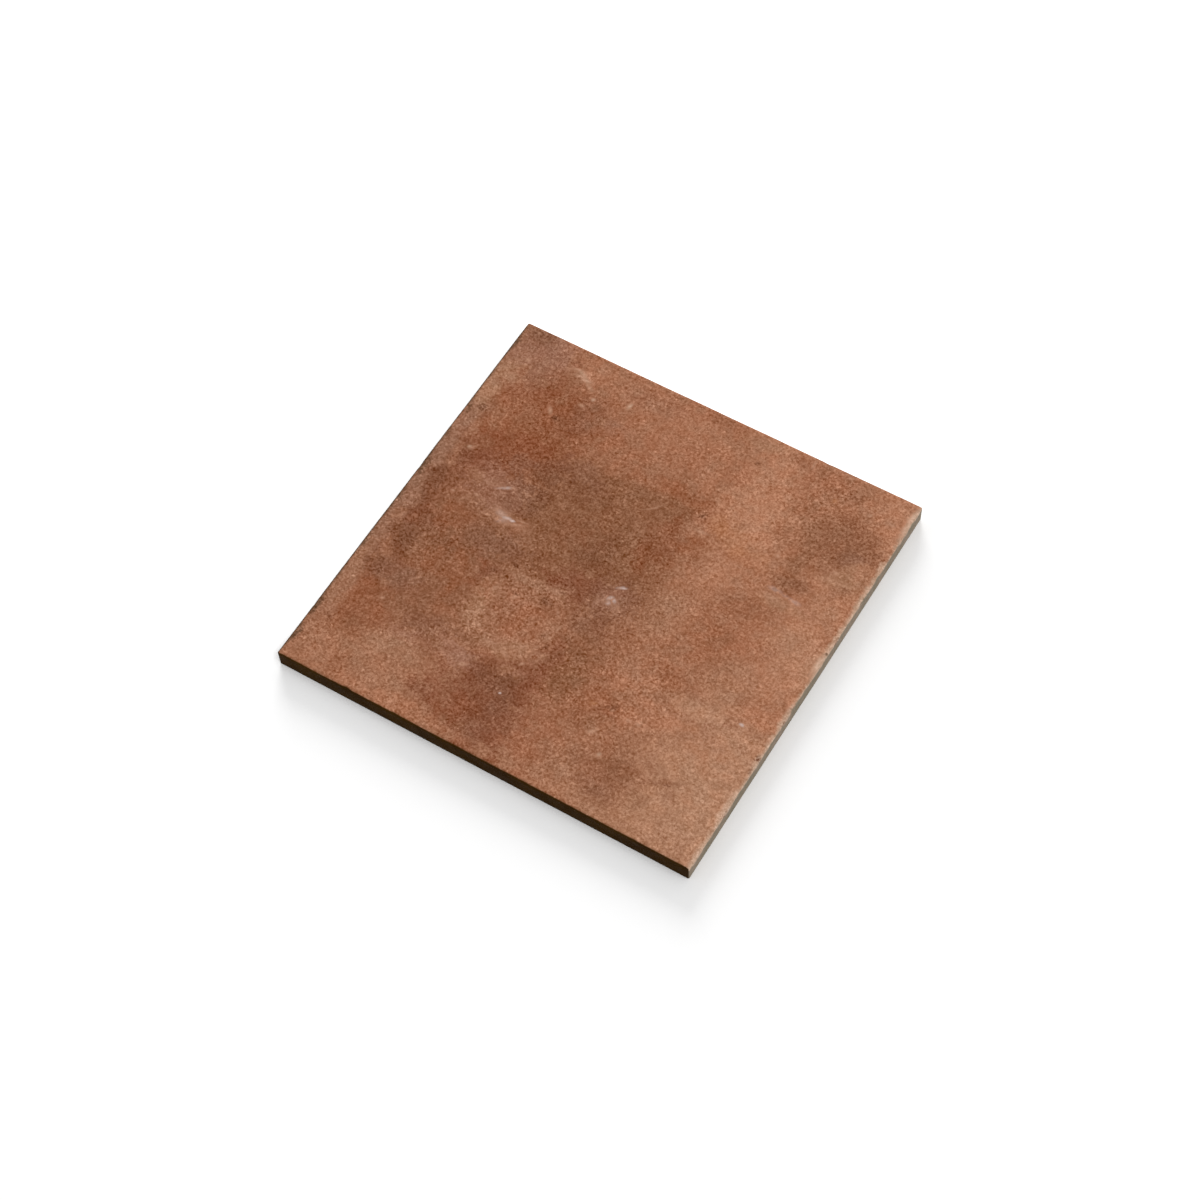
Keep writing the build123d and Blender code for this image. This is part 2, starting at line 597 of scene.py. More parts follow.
# Blotches over the washes
blotches = [
    # Upper left
    (lime, -90, 73, 10, 7, 0, 0.7),
    (umber, -91, 95, 6, 5, 0, 0.4),
    (grime_and_shade, -88, 97, 9, 5, 0, 0.25),
    (haze, -78, 91, 6, 7, 0, 0.6),
    (bone, -62, 86.5, 7, 3, 25, 0.8),
    (rose, -52, 92, 10, 6, 0, 0.7),
    (red_brown, -68, 77, 14, 7, 10, 0.45),
    (red_brown, -62, 60, 24, 14, -20, 0.5),
    (soot_and_pit_shade, -57, 58, 5, 4, 0, 0.2),
    (slate, -48, 69, 8, 10, 0, 0.5),
    (haze, -35, 68, 8, 5, 0, 0.6),
    (dull_rose, -26, 67, 10, 8, 0, 0.5),
    (slate, -90, 50, 5, 6, 0, 0.3),
    (dull_rose, -76, 57, 8, 12, 0, 0.4),
    (lime, -95, 59, 5, 13, 0, 0.75),
    (dull_rose, -20, 54, 22, 5, 0, 0.8),
    (dull_rose, -30, 80, 22, 18, 0, 0.4),
    (dust, -30, 90, 14, 6, 0, 0.3),
    (brick, -34, 62, 12, 5, 0, 0.4),
    (red_brown, -80, 36, 12, 8, 0, 0.35),
    (red_brown, -58, 39, 15, 10, 0, 0.8),
    (soot_and_pit_shade, -47, 34, 8, 8, 0, 0.6),
    (maroon, -76, 26, 12, 5, 0, 0.7),
    (brick, -80, 10, 8, 12, 0, 0.6),
    # Dark rim of the scorched ring
    (maroon, -82, 24, 6, 10, 24, 0.5),
    (soot_and_pit_shade, -86, 25, 3, 9, 24, 0.4),
    (maroon, -86, 8, 6, 18, 4, 0.5),
    (soot_and_pit_shade, -90, 5, 3.4, 17, 4, 0.6),
    (soot_and_pit_shade, -83, -17, 7, 12, -8, 0.75),
    (soot_and_pit_shade, -81, -26, 5, 8, -10, 0.6),
    (soot_and_pit_shade, -86, -41, 6, 6, 10, 0.65),
    (slate, -77, -41, 10, 7, 0, 0.7),
    (umber, -76, -14, 8, 7, 0, 0.7),
    (umber, -80, 0, 7, 16, 0, 0.6),
    (maroon, -82, -13, 9, 8, 0, 0.4),
    (soot_and_pit_shade, -85, 12, 4, 8, 0, 0.25),
    # Hazy bloom inside it
    (haze, -62, 17, 16, 12, 0, 0.6),
    (slate, -54, 20, 7, 8, 0, 0.5),
    (dull_rose, -45, 3, 7, 4, 0, 0.4),
    (slate, -60, 33, 7, 4, 0, 0.4),
    (soot_and_pit_shade, -45, 19, 6, 8, 20, 0.6),
    (brick, -72, -6, 10, 7, 0, 0.5),
    (slate, -50, -8, 15, 7, 0, 0.6),
    # Cloud
    (slate, -36, 43, 12, 7, -10, 0.5),
    (olive, -12, 45, 16, 5, 0, 0.6),
    (soot_and_pit_shade, -30, 34, 12, 8, 0, 0.3),
    (brick, 8, 56, 15, 6, 0, 0.8),
    (dull_rose, 21, 49, 4, 5, 0, 0.5),
    (dull_rose, -24, 50, 9, 3, 0, 0.4),
    (brick, 20, 56, 4, 10, 0, 0.4),
    (olive, 8, 45, 11, 7, 0, 0.6),
    (red_brown, 14, 28, 9, 16, 0, 0.5),
    (brick, 24, 31, 5, 9, 0, 0.7),
    (rose, 29, 14, 5, 9, 0, 0.5),
    (soot_and_pit_shade, -4, 13, 6, 9, 0, 0.35),
    (soot_and_pit_shade, -13, 5, 7, 7, 0, 0.4),
    (umber, -22, 14, 9, 7, 30, 0.5),
    (maroon, -8, -9, 14, 8, 0, 0.7),
    (slate, 9, -8, 12, 12, 0, 0.6),
    (haze, 8, -8, 7, 6, 0, 0.5),
    (slate, 6, -24, 9, 7, 0, 0.4),
    # Crescent under the cloud
    (ash, -28, -17, 15, 3, 4, 0.6),
    (maroon, -45, -25, 7, 9, 0, 0.8),
    (lime, -40, -36, 6, 14, 12, 0.65),
    (umber, -35, -56, 8, 4, 0, 0.6),
    (ash, -32, -49, 12, 6, -20, 0.5),
    (dull_rose, -20, -32, 15, 13, 0, 0.9),
    (lime, -17, -50, 9, 4.5, 8, 0.6),
    (umber, -14, -22, 5, 3, 0, 0.6),
    (umber, -29, -35, 6, 5, 0, 0.4),
    (maroon, -14, -13, 8, 5, 0, 0.5),
    (ash, -14, -17, 6, 2, 0, 0.3),
    (maroon, 3, -48, 5, 11, 0, 0.6),
    (ash, -8, -34, 4, 10, 8, 0.3),
    (maroon, -3, -54, 6, 6, 0, 0.5),
    # Lower left
    (brick, -62, -27, 17, 10, 0, 0.5),
    (red_brown, -84, -60, 9, 12, 0, 0.3),
    (slate, -52, -58, 14, 6, 0, 0.5),
    (dull_rose, -51, -47, 8, 4, 0, 0.4),
    (dull_rose, -25, -57, 5, 3.5, 0, 0.5),
    (umber, -84, -70, 10, 6, 0, 0.4),
    (haze, -56, -66, 13, 5, 0, 0.4),
    (lilac, -35, -65, 8, 5, -15, 0.85),
    (umber, -45, -65, 7, 5, 0, 0.6),
    (haze, -26, -65, 6, 4, 0, 0.4),
    (ash, -60, -73, 15, 6, 0, 0.8),
    (ash, -71, -84, 12, 6, -20, 0.5),
    (ash, -50, -89, 12, 6, 0, 0.5),
    (maroon, -37, -84, 8, 6, 0, 0.7),
    (brick, -75, -92, 6, 7, 0, 0.4),
    (soot_and_pit_shade, -15, -66, 10, 8, -10, 0.5),
    (soot_and_pit_shade, -6, -64, 9, 8, 0, 0.55),
    (maroon, 2, -66, 6, 7, 0, 0.6),
    (slate, -6, -74, 9, 9, 0, 0.5),
    (red_brown, -20, -82, 12, 9, 0, 0.4),
    (slate, -8, -90, 8, 7, 0, 0.4),
    (rose, -42, -96, 32, 4, 0, 0.6),
    (clay, -91, -88, 9, 12, 0, 0.7),
    (maroon, 3, -86, 6, 13, 0, 0.5),
    # Upper right
    (clay, 16, 88, 7, 6, 0, 0.6),
    (dull_rose, 5, 96, 16, 6, 0, 0.9),
    (brick, 5, 97, 7, 4, 0, 0.4),
    (dull_rose, 0, 71, 14, 10, 0, 0.6),
    (dull_rose, -18, 65, 12, 5, 0, 0.5),
    (lime, 28, 96, 12, 3.5, 0, 0.5),
    (dull_rose, 46, 95, 7, 5, 0, 0.8),
    (dull_rose, 54, 86, 8, 6, 0, 0.7),
    (pink, 96, 77, 5, 8, 0, 0.5),
    (dull_rose, 62, 92, 16, 6, -10, 0.6),
    (umber, 73, 91, 4, 2.5, 0, 0.5),
    (brick, 56, 75, 8, 7, 0, 0.6),
    (olive, 65, 62, 5, 9, 0, 0.3),
    (slate, 87, 60, 8, 6, 0, 0.5),
    (umber, 84, 74, 9, 5, 0, 0.4),
    (olive, 67, 49, 5, 9, 0, 0.5),
    (umber, 69, 37, 9, 4, 0, 0.8),
    (lime, 89, 51, 12, 7, 30, 0.8),
    (dull_rose, 84, 40, 8, 5, 0, 0.3),
    (lime, 71, 27, 12, 4, 0, 0.6),
    (ochre, 28, 47, 4, 4, 0, 0.4),
    (dull_rose, 22, 45, 5, 6, 0, 0.7),
    (ochre, 37, 46, 7, 7, 0, 0.35),
    (ochre, 49, 40, 8, 6, -20, 0.3),
    (dull_rose, 51, 36, 7, 5, 0, 0.4),
    (rose, 44, -1, 7, 9, 0, 0.6),
    (pink, 45, -35, 6, 6, 0, 0.4),
    (dull_rose, 56, 56, 7, 8, 0, 0.5),
    (dull_rose, 23, 75, 7, 9, 0, 0.6),
    (tan, 87, 35, 7, 6, 0, 0.4),
    (dull_rose, 95, 56, 5, 5, 0, 0.4),
    (tan, 83, 11, 9, 11, 0, 0.5),
    (pink, 40, 22, 10, 10, 0, 0.4),
    (umber, 57, 18, 15, 5, 0, 0.35),
    (ash, 33, 0, 10, 13, 0, 0.6),
    (brick, 58, -4, 14, 10, 0, 0.3),
    (dull_rose, 95, 22, 4, 9, 0, 0.4),
    (ash, 86, 4, 6, 14, 0, 0.4),
    # Lower right
    (olive, 12, -34, 9, 8, 0, 0.4),
    (olive, 15, -51, 9, 10, 0, 0.8),
    (maroon, 34, -55, 6, 3, 30, 0.5),
    (maroon, 36, -76, 6, 4, 20, 0.4),
    (pink, 35, -42, 6, 6, 0, 0.4),
    (brick, 30, -52, 10, 9, 30, 0.5),
    (umber, 27, -64, 6, 6, 0, 0.5),
    (ash, 33, -64, 5, 5, 0, 0.4),
    (rose, 50, -48, 12, 8, 0, 0.7),
    (tan, 66, -34, 14, 5, 0, 0.8),
    (brick, 53, -27, 11, 7, 0, 0.3),
    (ash, 72, -17, 13, 9, 0, 0.6),
    (rose, 88, -25, 12, 6, 0, 0.6),
    (tan, 86, -38, 12, 5, 0, 0.8),
    (tan, 92, -46, 9, 6, 0, 0.9),
    (ash, 75, -25, 7, 4, 0, 0.4),
    (umber, 54, -76, 7, 6, -15, 0.5),
    (slate, 46, -87, 9, 9, 0, 0.3),
    (umber, 71, -72, 10, 1.5, 24, 0.8),
    (ash, 74, -71, 9, 5, 20, 0.5),
    (lime, 80, -60, 12, 9, 0, 0.4),
    (umber, 76, -77, 5, 4, 0, 0.4),
    (tan, 74, -30, 8, 12, 0, 0.4),
    (ash, 31, -84, 9, 6, 0, 0.5),
    (ash, 34, -75, 6, 5, 0, 0.4),
    (tan, 96, 4, 4, 15, 0, 0.6),
    (lime, 66, -86, 7, 8, 0, 0.4),
    (dull_rose, 13, -86, 9, 7, 0, 0.6),
    (ash, 31, -91, 12, 6, 0, 0.4),
    (tan, 52, -96, 20, 5, 0, 0.4),
]

# Where the grain is louder or quieter than over the rest of the face: centre, loudness
grain_patches = [
    (-24, -33, 1.3),
    (38, -48, 1.2),
    (66, 74, 1.2),
    (-27, 30, 0.92),
    (77, -60, 0.86),
    (-12, -73, 0.92),
]

# Small marks: scuffs, flecks and specks, and painted shade in the pits
marks = [
    (bone, -54.5, 6.6, 6, 2.6, -16, 0.6),
    (chalk, -51, 5.5, 2.4, 0.8, 6, 0.6),
    (chalk, -52.5, 3.4, 2.6, 1.5, 30, 0.22),
    (bone, -50, 2.4, 3.4, 1, 20, 0.3),
    (chalk, -48.6, 5.4, 1.3, 0.6, 14, 1.0),
    (chalk, -55.4, 6.8, 3, 1.6, -16, 0.22),
    (bone, -47, 4, 4, 1.2, 14, 0.3),
    (bone, -44.5, 7, 3, 0.6, 0, 0.6),
    (bone, -45.5, 4.6, 3, 0.6, 24, 0.6),
    (bone, -42, 3, 4, 2.4, 0, 0.3),
    (chalk, -60.3, 19.2, 1.4, 0.6, 30, 0.55),
    (chalk, -62.5, 17.8, 2.6, 0.5, 26, 0.35),
    (bone, -58.6, 20, 1.2, 0.5, 20, 0.5),
    (bone, -66, 18.4, 5, 1.6, 8, 0.3),
    (bone, -74, 19.5, 3, 1.2, 0, 0.2),
    (chalk, 9, -0.7, 2, 0.9, 28, 0.55),
    (chalk, 10, -0.4, 0.9, 0.5, 28, 0.6),
    (bone, 8.4, -8.4, 2.8, 2.2, 0, 0.35),
    (chalk, 7.4, -7.8, 1.4, 1, 40, 0.65),
    (chalk, 9.8, -8.2, 1, 0.8, -20, 0.6),
    (chalk, 8.4, -10.2, 1.1, 0.8, 0, 0.5),
    (bone, 5.4, -10, 3, 1.4, 50, 0.25),
    (bone, 12, -10, 2.4, 1.4, 0, 0.3),
    (chalk, 65, 31.9, 2.8, 1.1, 4, 0.3),
    (chalk, 70.6, 31.4, 2.4, 0.8, 0, 0.15),
    (chalk, 75.6, 30.8, 2.6, 0.8, -6, 0.28),
    (bone, 69, 28, 8, 1.6, 6, 0.3),
    (bone, -88.5, 82, 1.3, 1, 0, 0.9),
    (bone, -85.4, 29, 1.8, 0.8, 40, 0.5),
    (wear_and_highlight, -86.4, 29.2, 0.9, 0.6, 40, 0.7),
    (bone, -66, 63, 2.8, 0.9, -55, 0.9),
    (bone, -36.5, 82.5, 1, 2.4, -15, 1.0),
    (wear_and_highlight, -36.2, 82.6, 0.5, 1.2, -15, 0.8),
    (wear_and_highlight, -52, 77.2, 1, 0.8, 0, 0.9),
    (bone, -55, 72, 1.2, 1, 0, 0.9),
    # Painted shade in a pit
    (soot_and_pit_shade, -61.5, 59.5, 2, 1.6, 0, 0.9),
    (soot_and_pit_shade, -93, 50, 2.4, 2, 0, 0.8),
    (bone, -24, -15, 2.2, 0.8, 10, 0.5),
    (bone, -33, -19, 2.4, 0.7, -30, 0.5),
    (bone, -38, -28, 2.6, 0.7, 70, 0.5),
    (bone, -39, -42, 2.4, 0.8, 40, 0.6),
    (bone, -34, -46, 2.4, 0.7, -15, 0.6),
    (bone, -25, -50, 3, 0.8, 10, 0.6),
    (bone, -17, -52, 2.4, 0.8, -30, 0.6),
    (bone, -14, -47, 2.6, 0.7, 30, 0.5),
    (bone, -7, -44, 2.2, 0.7, 60, 0.5),
    (bone, -4, -31, 2, 0.6, 80, 0.5),
    (bone, -8, -24, 2.4, 0.7, -50, 0.5),
    (bone, -14, -16, 3, 0.9, -15, 0.5),
    (bone, -28, -27, 2.6, 1.1, 60, 0.6),
    # Painted shade in a pit
    (soot_and_pit_shade, -15, -21.5, 3, 1.2, -20, 0.5),
    (soot_and_pit_shade, -29, -25.4, 1.5, 1.1, 0, 0.7),
    (chalk, -8, -69.5, 0.7, 0.6, 0, 0.9),
    (bone, 83, 51.5, 1.4, 0.9, 0, 0.7),
    (bone, 92, 85, 2.4, 0.8, -10, 0.6),
    (ochre, 66, 84, 1.2, 1.2, 0, 0.9),
    (bone, 24, 41, 3.2, 0.9, 12, 0.7),
    # Painted shade in a pit
    (soot_and_pit_shade, 21, 48, 1.6, 1.6, 0, 0.8),
    (bone, 44.5, -53.5, 1.4, 1, 0, 0.6),
    (bone, 49.5, -52, 1.6, 1, 30, 0.6),
    (bone, 86, -33, 2.2, 0.8, 0, 0.6),
    (chalk, 85.4, -32.6, 1, 0.7, 0, 0.8),
    (bone, -0.5, 42, 5, 0.4, 43, 0.5),
    (bone, 33.3, -65.9, 2, 1, 50, 0.9),
    (bone, 49, -53.6, 1.5, 1, -30, 0.6),
    (bone, 36, -53, 1.2, 0.8, 40, 0.6),
    (wear_and_highlight, 42, -73, 0.9, 1.1, 0, 0.7),
    (bone, 52.4, -96, 1, 1, 0, 0.6),
    (bone, 49.3, 96.5, 0.6, 3, -8, 0.7),
    (bone, -66, 88.6, 3.6, 0.9, 12, 0.9),
    (wear_and_highlight, -63.4, 87.5, 1.8, 0.7, -30, 0.8),
    (wear_and_highlight, -60, 85.3, 1.8, 0.7, -20, 0.8),
    (bone, -62, 86.4, 2.4, 0.9, -50, 0.8),
    (bone, -59, 85, 2.6, 0.9, 10, 0.8),
    (bone, -57, 82.8, 2.6, 0.9, -30, 0.8),
    (ochre, 28, -54, 1.4, 1, 30, 0.8),
    (soot_and_pit_shade, 35, -52, 3.4, 1.1, 35, 0.6),
    (bone, -5, -48, 2.8, 2.4, 20, 0.5),
    (brick, -5, -48, 1.6, 1.3, 20, 0.8),
    (bone, 82, 84.5, 1.1, 0.8, 20, 1.0),
    (bone, 58, 47, 1.1, 0.8, 0, 0.8),
    (bone, -70, 9, 1.3, 0.7, 0, 0.8),
    (bone, -80, 6, 1.1, 0.7, 0, 0.7),
    (bone, -91, -15, 2.2, 1.2, 60, 0.35),
    (bone, -77, -55, 1.1, 0.8, 0, 0.7),
    (bone, -30, -66.5, 1.7, 0.9, 20, 0.8),
    (bone, -8, -53, 1.4, 0.7, 40, 0.8),
    (bone, -5, -37.5, 1.8, 0.8, 60, 0.6),
    (soot_and_pit_shade, -8, -37.3, 1.1, 1, 0, 0.6),
    (soot_and_pit_shade, -4, -42, 1.8, 1.1, 60, 0.5),
    (soot_and_pit_shade, -11, -15.2, 1.1, 0.9, 0, 0.6),
    (soot_and_pit_shade, -35.3, -13.4, 1.6, 1.1, 0, 0.7),
    (soot_and_pit_shade, -43, -20, 1.2, 1, 0, 0.6),
    (umber, -46, -45, 2.2, 1.4, 0, 0.5),
    (umber, -71, -87, 2.2, 1.5, 0, 0.5),
    (soot_and_pit_shade, -92, -74, 2, 1.6, 0, 0.4),
    (soot_and_pit_shade, -68, 91.5, 2.4, 1.2, 10, 0.4),
    (soot_and_pit_shade, 73.4, -72, 1.8, 0.8, 24, 0.6),
    (umber, 94.8, 68, 2.2, 1.8, 0, 0.7),
    (umber, 91, 46, 2.2, 1.6, 0, 0.6),
    (umber, 76, 37.6, 2.2, 1.3, 0, 0.7),
    (soot_and_pit_shade, 27.5, 85, 1.1, 0.9, 0, 0.6),
    # Painted shade in a pit
    (soot_and_pit_shade, 99, -42.5, 1.3, 1.2, 0, 1.0),
    # Painted shade along the left arris
    (grime_and_shade, -98.9, 88, 1.2, 4, 0, 0.8),
    (grime_and_shade, -98.9, 47, 1.1, 3.6, 0, 0.6),
    (grime_and_shade, -98.7, 29, 1.2, 3, 0, 0.5),
    (grime_and_shade, -98.4, 10, 1.8, 5, 0, 0.8),
    (grime_and_shade, -98.8, -8, 1.0, 4, 0, 0.6),
    (grime_and_shade, -98.8, -35, 1.2, 5, 0, 0.8),
    (grime_and_shade, -98.6, -72, 1.4, 6, 0, 0.9),
    (grime_and_shade, -98.5, -88, 1.4, 5, 0, 0.9),
    # Painted highlight and pale rub on the right arris, and darker marks at its chips
    (rim, 98.7, 89, 1.6, 10, 0, 0.45),
    (rim, 99, 46, 1.2, 8, 0, 0.3),
    (rim, 98.7, 9, 1.6, 7, 0, 0.4),
    (grime_and_shade, 99, 14.5, 0.9, 0.8, 0, 0.6),
    (dust, 99.5, 44, 0.6, 2.4, 0, 0.7),
    (dust, 99.4, 22, 0.7, 2, 0, 0.8),
    (grime_and_shade, 99.5, -15, 0.6, 3, 0, 0.5),
    (dust, 99.6, -23, 0.5, 2.6, 0, 0.7),
    (dust, 99.5, -49, 0.5, 2, 0, 0.6),
    (dust, 99.5, -71, 0.5, 2.2, 0, 0.6),
    (rim, 99, -16, 1.1, 4, 0, 0.3),
]


def blotch_group():
    """A shader group that lays one soft-edged, ragged blotch of paint over a colour.

    Place is (x, y, 1) in millimetres. Its products with Along and Across are the distances from the blotch's
    centre in shares of its half sizes.
    """
    group = bpy.data.node_groups.new("blotch", "ShaderNodeTree")
    sockets = (("Under", "NodeSocketColor"), ("Place", "NodeSocketVector"), ("Ragged", "NodeSocketFloat"),
               ("Along", "NodeSocketVector"), ("Across", "NodeSocketVector"), ("Core", "NodeSocketFloat"),
               ("Rim", "NodeSocketFloat"), ("Strength", "NodeSocketFloat"), ("Paint", "NodeSocketColor"))
    for name, kind in sockets:
        group.interface.new_socket(name, in_out="INPUT", socket_type=kind)
    group.interface.new_socket("Colour", in_out="OUTPUT", socket_type="NodeSocketColor")
    tree = Tree(group)
    given = tree.add("NodeGroupInput").outputs
    along = tree.vector("DOT_PRODUCT", given["Place"], given["Along"])
    across = tree.vector("DOT_PRODUCT", given["Place"], given["Across"])
    squared = tree.math("MULTIPLY_ADD", across, across, tree.math("MULTIPLY", along, along))
    far = tree.math("ADD", tree.math("SQRT", squared), given["Ragged"])
    cover = tree.ramp(far, given["Core"], given["Rim"], given["Strength"], 0.0)
    colour = tree.mix(cover, given["Under"], given["Paint"])
    tree.links.new(colour, tree.add("NodeGroupOutput").inputs["Colour"])
    return group


def blotch_axis(angle, reach, x, y):
    """What (x, y, 1) is weighed with, for the distance along one axis of a blotch."""
    right, up = math.cos(angle) / reach, math.sin(angle) / reach
    return right, up, -(right * x + up * y)


def lay(tree, group, colour, place, ragged, listed, core, rim):
    """Lays a list of blotches over a colour. Each fades from core to rim, in shares of its half sizes."""
    for kind, x, y, reach_x, reach_y, turn, strength in listed:
        angle = math.radians(turn)
        along = blotch_axis(angle, reach_x, x, y)
        across = blotch_axis(angle + math.pi / 2, reach_y, x, y)
        inputs = {"Under": colour, "Place": place, "Ragged": ragged, "Along": along, "Across": across,
                  "Core": core, "Rim": rim, "Strength": strength, "Paint": paint(*kind)}
        colour = tree.add("ShaderNodeGroup", inputs, node_tree=group).outputs[0]
    return colour


def fine_grain(tree, place, right):
    """Close, wormy grain round 0, with brighter flecks than dark ones and with louder and quieter patches."""
    worms = tree.noise(place, *worm_noise, distortion=0.6)
    worms = tree.ramp(worms, *worm_span, -1.0, 1.0, smooth=False)
    flecks = tree.noise(place, *fleck_noise)
    flecks = tree.ramp(flecks, *fleck_span, 0.0, tree.ramp(right, *fleck_fade, *fleck_depths))
    uneven = tree.math("MULTIPLY_ADD", worms, tree.math("MULTIPLY", worms, worm_skew), worms)
    loudness = tree.ramp(tree.noise(place, *loudness_noise), *narrow_span, *loudness_range)
    for x, y, local in grain_patches:
        near = tree.vector("DISTANCE", place, (x, y, thickness))
        loudness = tree.math("MULTIPLY", loudness, tree.ramp(near, *patch_fade, 1.0, local))
    return tree.math("MULTIPLY", tree.math("ADD", uneven, flecks), loudness)


def dappled(tree, colour, speckle):
    """Lightens and darkens a colour by a speckle round 0, about evenly in each channel and tone."""
    step = tree.vector("MULTIPLY", tree.mix(0.5, colour, paint(*clay)), channel_steps)
    return tree.vector("MULTIPLY_ADD", step, speckle, colour)


def face_colour(tree, place, x, height, grain):
    """The mottled terracotta of the face and its worn arris, with a painted highlight along the right edge and
    painted shade along the left.
    """
    group = blotch_group()
    flat = tree.vector("MULTIPLY_ADD", place, (1, 1, 0), (0, 0, 1))
    drift = tree.vector("SUBTRACT", tree.noise(place, *drift_noise, output="Color"), (0.5, 0.5, 0.5))
    drifted = tree.vector("ADD", flat, tree.vector("MULTIPLY", drift, blotch_drift))
    dapple = tree.noise(place, *dapple_noise)
    ragged = tree.ramp(dapple, *wide_span, -1.0, 1.0, smooth=False)
    colour = lay(tree, group, paint(*clay), drifted, ragged, washes, core=0.3, rim=1.5)
    colour = lay(tree, group, colour, drifted, ragged, blotches, core=0.45, rim=1.35)
    mottle = tree.noise(place, *mottle_noise)
    mottle = tree.ramp(mottle, *wide_span, -mottle_depth, mottle_depth, smooth=False)
    tint = tree.mix(tree.ramp(tree.noise(place, *tint_noise), *usual_span), warm_tint, cool_tint)
    colour = tree.vector("MULTIPLY", dappled(tree, colour, mottle), tint)
    nudged = tree.vector("ADD", flat, tree.vector("MULTIPLY", drift, mark_drift))
    wide_fringe = tree.noise(place, *fringe_noise)
    fine_fringe = tree.ramp(dapple, *usual_span, -0.7, 0.7)
    fringe = tree.math("ADD", fine_fringe, tree.ramp(wide_fringe, *narrow_span, -1.1, 0.9))
    # Pale rub along the right edge with a painted highlight on its arris, palest over the arris
    rub_and_highlight = tree.ramp(tree.math("ADD", x, fringe), *rub_highlight_band, 0.0, rub_highlight_strength)
    colour = tree.mix(rub_and_highlight, colour, paint(*wear_and_highlight))
    colour = tree.mix(tree.math("MULTIPLY", rub_and_highlight, tree.ramp(height, *rim_band)), colour, paint(*rim))
    ragged = tree.math("MULTIPLY", grain, mark_raggedness)
    colour = lay(tree, group, colour, nudged, ragged, marks, core=0.0, rim=1.6)
    # Painted shade along the left edge, where the arris faces away from the key light
    left_shade = tree.ramp(tree.math("MULTIPLY_ADD", fringe, 0.5, x), *left_shade_band, 0.0, left_shade_strength)
    colour = tree.mix(left_shade, colour, paint(*grime_and_shade))
    return dappled(tree, colour, tree.math("MULTIPLY_ADD", grain, *face_grain))


def peppered(tree, place, colour, grain):
    """Pressed body: a colour with its grain, and small dark specks of iron."""
    specks = tree.ramp(tree.noise(place, *speck_noise), *speck_span, 1.0, speck_shade)
    shade = tree.math("MULTIPLY_ADD", grain, body_grain, 1.0)
    return tree.scaled(colour, tree.math("MULTIPLY", specks, shade))


def side_colour(tree, place, x_plus_y, grain):
    """Bare body on the sides: taupe on +X and +Y, dark umber on -X and -Y, which is partly kiln flash and
    partly painted shade of the sides away from the key light.
    """
    cloudy = tree.ramp(tree.noise(place, *taupe_noise), *usual_span)
    taupe = tree.mix(cloudy, paint(*dark_taupe), paint(*pale_taupe))
    cloudy = tree.ramp(tree.noise(place, *flash_shade_noise), *usual_span)
    flashed_shade = tree.mix(cloudy, paint(*dark_flash_shade), paint(*pale_flash_shade))
    colour = tree.mix(tree.ramp(x_plus_y, *side_band), flashed_shade, taupe)
    return peppered(tree, place, colour, grain)


def back_colour(tree, place, height, grain):
    """Grey-brown body, dusted with pale kiln wash on the ribs."""
    body = tree.mix(tree.noise(place, *body_noise), paint(*dark_back), paint(*pale_back))
    dusted = tree.ramp(tree.noise(place, *wash_noise), *wash_span)
    wash = tree.math("MULTIPLY", dusted, tree.ramp(height, *wash_band))
    colour = tree.mix(tree.math("MULTIPLY", wash, wash_strength), body, paint(*kiln_wash))
    return peppered(tree, place, colour, grain)


